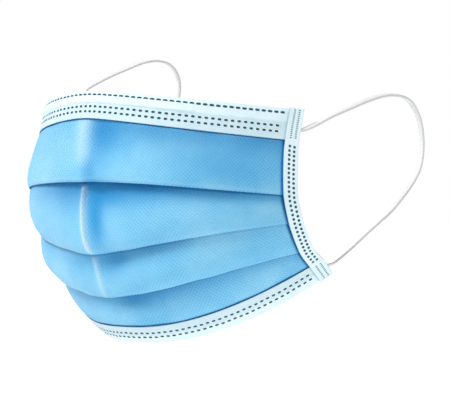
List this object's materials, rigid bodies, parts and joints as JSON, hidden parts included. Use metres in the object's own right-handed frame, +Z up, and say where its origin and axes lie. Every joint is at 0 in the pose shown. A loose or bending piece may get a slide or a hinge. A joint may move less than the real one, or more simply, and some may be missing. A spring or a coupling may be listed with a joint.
{
  "type": "surgical face mask",
  "caption": "Pleated three-ply face mask opened as worn, with white weld-dotted bindings, a nose wire and a flat elastic loop for each ear.",
  "frame": {"origin": "on the inner face of the top band at the centre line, where it sits on the bridge of the nose", "axes": "+Z up, the mask's front faces -Y, +X towards the ear loop named right"},
  "size_m": [0.1541, 0.1586, 0.1313],
  "materials": {
    "filter_cloth": "embossed non-woven, matt with a slight sheen",
    "binding_cloth": "smooth white non-woven, faintly see-through",
    "wire_coat": "plastic-coated flat wire",
    "elastic": "knitted elastic"
  },
  "bodies": {
    "root": {"mask_body": "filter_cloth", "top_band": "binding_cloth", "bottom_band": "binding_cloth", "side_binding_left": "binding_cloth", "side_binding_right": "binding_cloth", "nose_wire": "wire_coat", "ear_loop_left": "elastic", "ear_loop_right": "elastic"}
  },
  "joints": []
}
